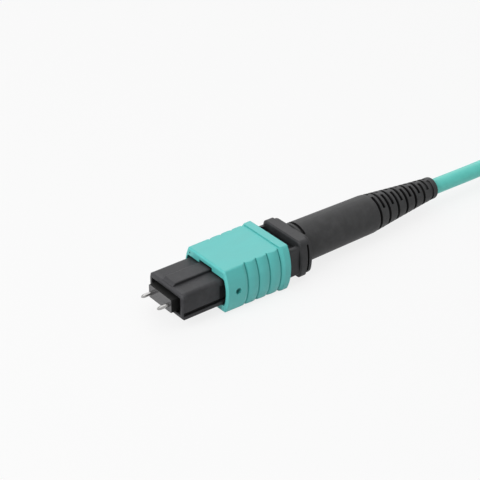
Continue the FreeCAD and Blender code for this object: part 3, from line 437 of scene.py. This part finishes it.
def fold(x, facing, radius, start, end):
    """Points of one half-round fold, from level start to level end."""
    reach = radius / math.cos(math.radians(HALF_STEP))
    points = []
    for step, turn in enumerate(FOLD_STEPS):
        angle = math.radians(turn)
        share = min(step / RISING_STEPS, 1.0)
        side = facing * math.sin(angle)
        points.append((x + facing * reach * math.cos(angle), HANK_Y + side * reach,
                       start + (end - start) * share))
    return points


def hank_points():
    """Three wide turns that climb, then narrower turns inside them that come back down."""
    points = []
    for level, above in zip(LEVELS, LEVELS[1:]):
        points += fold(FAR_X, 1, OUTER, level, level)
        points += [(FAR_X - LEAD, HANK_Y - OUTER, level), (NEAR_X + LEAD, HANK_Y - OUTER, level)]
        points += fold(NEAR_X, -1, OUTER, level, above)
        points += [(NEAR_X + SHORT_LEAD, HANK_Y + OUTER, above)]
    top, below = LEVELS[3], LEVELS[2]
    for along, inward, down in CROSSING:
        points.append((NEAR_X + along, HANK_Y + OUTER - inward * (OUTER - INNER),
                       top - down * (top - below)))
    for level, under in ((LEVELS[2], LEVELS[1]), (LEVELS[1], LEVELS[0])):
        points += fold(FAR_X, 1, INNER, level, level)
        points += [(FAR_X - LEAD, HANK_Y - INNER, level), (NEAR_X + LEAD, HANK_Y - INNER, level)]
        points += fold(NEAR_X, -1, INNER, level, under)
        points += [(NEAR_X + LEAD, HANK_Y + INNER, under), (FAR_X - LEAD, HANK_Y + INNER, under)]
    points += fold(FAR_X, 1, INNER, LEVELS[0], LEVELS[0])
    ahead = Vector((math.cos(TAIL_TURN), math.sin(TAIL_TURN), 0.0))
    tail = [tuple(CUT_CORNER + ahead * along) for along in (TAIL_BEND, JACKET_END)]
    return points + [(FAR_X - SHORT_LEAD, HANK_Y - INNER, LEVELS[0]), tuple(CUT_CORNER)] + tail


def at_cut(along, y, z):
    """A place in the cut stretch of cable: so far along it from the hank, and off its middle."""
    turn = Matrix.Rotation(TAIL_TURN, 4, "Z")
    aside = Matrix.Translation(Vector((along, y, z)) * MM)
    return Matrix.Translation(CUT_CORNER * MM) @ turn @ aside


def thread(shape, end, ring, turn, radius, sides, lean=0.0):
    """Adds one short round thread to a ring in the cut stretch, leaning outwards at its end."""
    start, y, z = CUT_END - CUT_DEPTH, ring * math.cos(turn), ring * math.sin(turn)
    upright = Matrix.Rotation(math.pi / 2, 4, "Y")
    tilt = Matrix.Rotation(lean * y, 4, "Z") @ Matrix.Rotation(-lean * z, 4, "Y")
    middle = Matrix.Translation((0.5 * (end - start) * MM, 0, 0))
    where = at_cut(start, y, z) @ tilt @ middle @ upright
    made = bmesh.ops.create_cone(shape, cap_ends=True, segments=sides, radius1=radius * MM,
                                 radius2=radius * MM, depth=(end - start) * MM, matrix=where)
    return made["verts"]


def cut_fibres():
    """Twelve coated fibres, three in the middle and nine round them, each in its own colour."""
    coatings = [(0.02, 0.12, 0.55), (0.85, 0.25, 0.02), (0.02, 0.35, 0.08), (0.16, 0.06, 0.02),
                (0.22, 0.24, 0.26), (0.80, 0.80, 0.78), (0.60, 0.02, 0.02), (0.01, 0.01, 0.01),
                (0.85, 0.70, 0.03), (0.22, 0.06, 0.40), (0.85, 0.30, 0.38), (0.10, 0.60, 0.58)]
    shape = bmesh.new()
    coating = shape.loops.layers.float_color.new("coating")
    for index, colour in enumerate(coatings):
        inside = index < INNER_FIBRES
        count = INNER_FIBRES if inside else len(coatings) - INNER_FIBRES
        ring = INNER_RING if inside else OUTER_RING
        turn = 2 * math.pi * index / count
        end = CUT_END - random.uniform(0.0, 0.25)
        corners = thread(shape, end, ring, turn, FIBRE_RADIUS, FIBRE_SIDES)
        for face in {face for corner in corners for face in corner.link_faces}:
            for loop in face.loops:
                loop[coating] = (*colour, 1.0)
    ends = [edge for edge in shape.edges if edge.calc_face_angle() > END_ANGLE]
    bmesh.ops.bevel(shape, geom=ends, offset=FIBRE_EDGE * MM, offset_type="OFFSET", segments=2,
                    profile=0.5, affect="EDGES", material=-1)
    fibres = new_mesh("cut_fibres", shape)
    return place_piece(fibres, "fibre_colours", "connector", "cable_end_fibres")


def cut_yarn():
    """Yarn between the fibres and the jacket, its strands cut a little unevenly."""
    shape = bmesh.new()
    for index in range(STRANDS):
        layer = index // STRANDS_A_RING
        turn = 2 * math.pi * index / STRANDS_A_RING + STRAND_RING_TURN * layer
        ring = STRAND_RING + STRAND_RING_STEP * layer
        end = CUT_END - random.uniform(-0.1, 0.45)
        thread(shape, end, ring, turn, STRAND_RADIUS, STRAND_SIDES, random.uniform(0.0, 0.03))
    return place_piece(new_mesh("cut_yarn", shape), "yarn_fibre", "connector", "cable_end_yarn")


def finish_tape(name, shape):
    """Gives a tape its thickness and softens its edges."""
    obj = new_mesh(name, shape)
    wall = obj.modifiers.new("thickness", "SOLIDIFY")
    wall.thickness = TAPE * MM
    wall.offset = 1.0
    edge = obj.modifiers.new("soft_edges", "BEVEL")
    edge.width = TAPE_EDGE * MM
    edge.segments = 3
    edge.limit_method = "ANGLE"
    return place_piece(obj, "tie_fabric", "connector")


def tie_band():
    """Hook-and-loop tape wound once round the middle of the hank."""
    shape = bmesh.new()
    size = Matrix.Diagonal((BAND_HIGH * MM, BAND_ACROSS * MM, 1.0, 1.0))
    upright = Matrix.Rotation(math.pi / 2, 4, "Y") @ size
    where = Matrix.Translation(Vector((TIE_START, HANK_Y, BAND_LEVEL)) * MM) @ upright
    bmesh.ops.create_grid(shape, x_segments=1, y_segments=1, size=0.5, matrix=where)
    bmesh.ops.bevel(shape, geom=shape.verts[:], offset=BAND_CORNER * MM, offset_type="OFFSET",
                    segments=6, profile=0.5, affect="VERTICES", material=-1)
    bmesh.ops.delete(shape, geom=shape.faces[:], context="FACES_ONLY")
    drawn = bmesh.ops.extrude_edge_only(shape, edges=shape.edges[:])["geom"]
    corners = [item for item in drawn if isinstance(item, bmesh.types.BMVert)]
    bmesh.ops.translate(shape, verts=corners, vec=Vector((TIE_WIDTH * MM, 0, 0)))
    bmesh.ops.recalc_face_normals(shape, faces=shape.faces)
    band = finish_tape("tie_band", shape)
    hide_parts("hank_tie")
    return band


def tie_flap():
    """The tape's free end, pressed down on the turn below it and lifted a little at its tip."""
    shape = bmesh.new()
    size = Matrix.Diagonal((TIE_WIDTH * MM, FLAP_LENGTH * MM, 1.0, 1.0))
    where = Matrix.Translation(Vector((MIDDLE_X, HANK_Y + FLAP_ASIDE, FLAP_LEVEL)) * MM) @ size
    bmesh.ops.create_grid(shape, x_segments=1, y_segments=8, size=0.5, matrix=where)
    tip = max(corner.co.y for corner in shape.verts)
    for corner in shape.verts:
        lift = max(0.0, LIFTED_LENGTH * MM - (tip - corner.co.y)) / (LIFTED_LENGTH * MM)
        corner.co.z += LIFT * MM * lift ** 2
    return finish_tape("tie_flap", shape)


def cable_cord():
    """The jacket as one smooth line, from inside the boot to its cut end in the hank."""
    line = bpy.data.curves.new("cable_jacket", "CURVE")
    line.dimensions = "3D"
    line.bevel_depth = CABLE_RADIUS * MM
    line.bevel_resolution = 6
    line.resolution_u = 10
    line.use_fill_caps = True
    spline = line.splines.new("NURBS")
    points = ROUTE + hank_points()
    spline.points.add(len(points) - 1)
    for point, (x, y, z) in zip(spline.points, points):
        point.co = (x * MM, y * MM, z * MM, 1.0)
    spline.order_u = 3
    spline.use_endpoint_u = True
    obj = bpy.data.objects.new("cable_jacket", line)
    bpy.context.scene.collection.objects.link(obj)
    place_piece(obj, "jacket_aqua", "connector", "cable", "cable_hank")
    tie_band()
    tie_flap()
    cut_yarn()
    cut_fibres()


# ---- stage, light and camera -------------------------------------------------------------------

def floor():
    """Pale paper that keeps the shadow, and shows nearly white."""
    made = Finish("floor_paper", Roughness=0.9, Specular_IOR_Level=0.1)
    speckle = made.noise(0.6, 3.0)
    made.feed(Base_Color=made.tint(speckle, (0.86, 0.86, 0.86), (0.88, 0.88, 0.88)))
    white = made.node("ShaderNodeEmission", sockets={"Color": (1.0, 1.0, 1.0), "Strength": 1.0})
    mixed = made.node("ShaderNodeMixShader", sockets={
        0: made.shown(0.0, 0.82), 1: Value(made, made.shader.outputs[0]), 2: white})
    made.set(made.tree.nodes["Material Output"].inputs["Surface"], mixed)
    shape = bmesh.new()
    bmesh.ops.create_grid(shape, x_segments=1, y_segments=1, size=4.0)
    obj = new_mesh("floor", shape, smooth=False)
    obj.data.materials.append(made.material)


def sky():
    """Even studio surround: soft grey light, seen as white."""
    world = bpy.data.worlds.new("studio")
    bpy.context.scene.world = world
    studio = Shading(world)
    surround = studio.tree.nodes["Background"]
    studio.set(surround.inputs["Color"], (1.0, 1.0, 1.0))
    studio.set(surround.inputs["Strength"], studio.shown(0.16, 1.0))


def lamp(name, watts, size, place):
    """Soft square lamp at a place in metres, turned to the connector."""
    light = bpy.data.lights.new(name, "AREA")
    light.energy = watts
    light.size = size
    obj = bpy.data.objects.new(name, light)
    obj.location = place
    obj.rotation_euler = (-Vector(place)).to_track_quat("-Z", "Y").to_euler()
    bpy.context.scene.collection.objects.link(obj)


def camera():
    """At the viewing angle of the reference."""
    made = bpy.data.cameras.new("camera")
    made.lens = 113.709
    made.sensor_width = 36.0
    made.clip_start = 0.01
    obj = bpy.data.objects.new("camera", made)
    obj.location = (-0.147885, -0.17458, 0.14292)
    obj.rotation_euler = (math.radians(58.85), 0.0, math.radians(-37.67))
    bpy.context.scene.collection.objects.link(obj)
    bpy.context.scene.camera = obj


springs()
cable_cord()
floor()
sky()
lamp("behind", 0.74, 0.45, (0.30, 0.36, 0.34))
lamp("ahead", 2.1, 0.4, (-0.45, -0.02, 0.34))
lamp("overhead", 0.9, 0.5, (0.08, -0.08, 0.54))
camera()
bpy.context.scene.view_settings.view_transform = "Standard"
